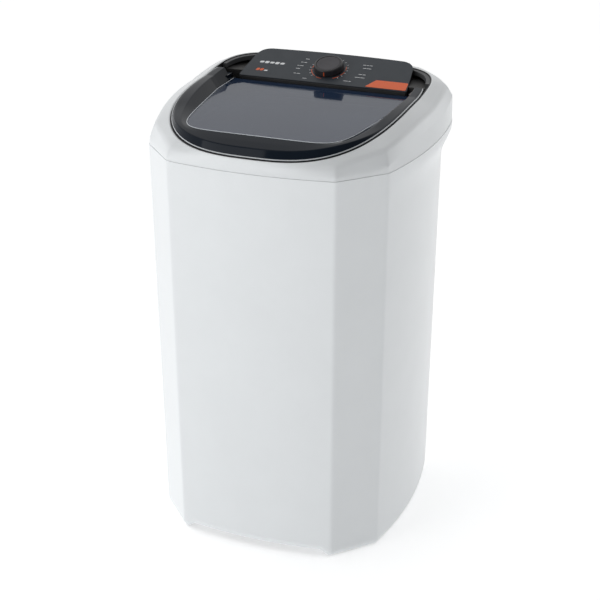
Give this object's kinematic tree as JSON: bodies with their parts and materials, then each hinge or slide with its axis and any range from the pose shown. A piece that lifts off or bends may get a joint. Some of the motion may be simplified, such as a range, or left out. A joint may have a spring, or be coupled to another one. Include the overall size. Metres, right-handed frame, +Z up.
{
  "type": "semi-automatic washing machine",
  "caption": "Top-loading semi-automatic washer: eight-sided white cabinet with flared rim, smoked hinged lid, sloping timer panel, deep tub and belt-driven pulsator.",
  "frame": {"origin": "middle of the footprint, on the floor", "axes": "+Z up, -Y towards the front (the side the lid opens from), +X to the right as seen from the front"},
  "size_m": [0.6066, 0.6346, 1.0093],
  "materials": {
    "white_shell": "smooth moulded polypropylene, satin gloss",
    "tub_plastic": "smooth moulded polypropylene",
    "black_plastic": "fine-grained moulded plastic",
    "knob_plastic": "satin moulded plastic",
    "lid_dark": "polished smoked plastic",
    "lid_smoked": "polished translucent smoked plastic",
    "panel_charcoal": "satin printed film",
    "orange_film": "printed film",
    "grey_plastic": "moulded polypropylene",
    "steel": "zinc-plated steel",
    "cast_alloy": "die-cast alloy",
    "bronze": "sintered bronze",
    "black_rubber": "moulded rubber"
  },
  "bodies": {
    "root": {"cabinet": "white_shell", "top_cover": "white_shell", "lid_bezel": "black_plastic", "wash_tub": "tub_plastic", "base_tray": "grey_plastic", "support_plate": "steel", "filter_housing": "tub_plastic", "hinge_bracket_left": "black_plastic", "hinge_bracket_right": "black_plastic", "hinge_pin_left": "steel", "hinge_pin_right": "steel", "console_housing": "black_plastic", "control_panel": "panel_charcoal", "panel_flash": "orange_film", "timer_body": "grey_plastic", "timer_screw_left": "steel", "timer_screw_right": "steel", "bearing_housing": "cast_alloy", "lower_bush": "bronze", "upper_bush": "bronze", "shaft_seal": "black_rubber", "drive_belt": "black_rubber", "motor_housing": "cast_alloy", "motor_bracket": "steel", "capacitor": "grey_plastic", "capacitor_clamp": "steel", "drain_elbow": "grey_plastic", "drain_hose": "grey_plastic", "drain_spout": "grey_plastic", "cord_gland": "black_rubber", "water_inlet": "grey_plastic", "motor_bolt_1": "steel", "motor_bolt_2": "steel", "motor_bolt_3": "steel", "motor_bolt_4": "steel", "plate_screw_1": "steel", "plate_screw_2": "steel", "plate_screw_3": "steel", "plate_screw_4": "steel", "foot_pad_front_left": "black_rubber", "foot_pad_front_right": "black_rubber", "foot_pad_rear_left": "black_rubber", "foot_pad_rear_right": "black_rubber"},
    "lid": {"lid_frame": "lid_dark", "lid_window": "lid_smoked"},
    "timer_dial": {"timer_knob": "knob_plastic", "timer_shaft": "steel", "knob_index": "orange_film"},
    "lint_trap": {"lint_filter": "grey_plastic"},
    "agitator": {"pulsator": "tub_plastic", "pulsator_screw": "steel", "drive_shaft": "steel", "driven_pulley": "cast_alloy", "pulley_nut": "steel"},
    "rotor": {"motor_shaft": "steel", "motor_pulley": "cast_alloy", "cooling_fan": "grey_plastic"}
  },
  "joints": [
    {"name": "lid_hinge", "type": "hinge", "parent": "root", "child": "lid", "pos_m": [0, 0.11525, 0.963], "axis": [-1, 0, 0], "range_deg": [0, 90]},
    {"name": "timer_turn", "type": "hinge", "parent": "root", "child": "timer_dial", "pos_m": [0, 0.1752, 0.98423], "axis": [0, 0.3256, -0.9455], "range_deg": [0, 330]},
    {"name": "filter_lift", "type": "slide", "parent": "root", "child": "lint_trap", "axis": [0, 0, 1], "range_m": [0, 0.1]},
    {"name": "pulsator_spin", "type": "hinge", "parent": "root", "child": "agitator", "pos_m": [0, -0.01275, 0.337], "axis": [0, 0, 1], "continuous": true},
    {"name": "motor_spin", "type": "hinge", "parent": "root", "child": "rotor", "pos_m": [0, 0.15525, 0.2], "axis": [0, 0, 1], "continuous": true}
  ],
  "couplings": [
    {"joint": "motor_spin", "follows": "pulsator_spin", "ratio": 5.3878}
  ]
}
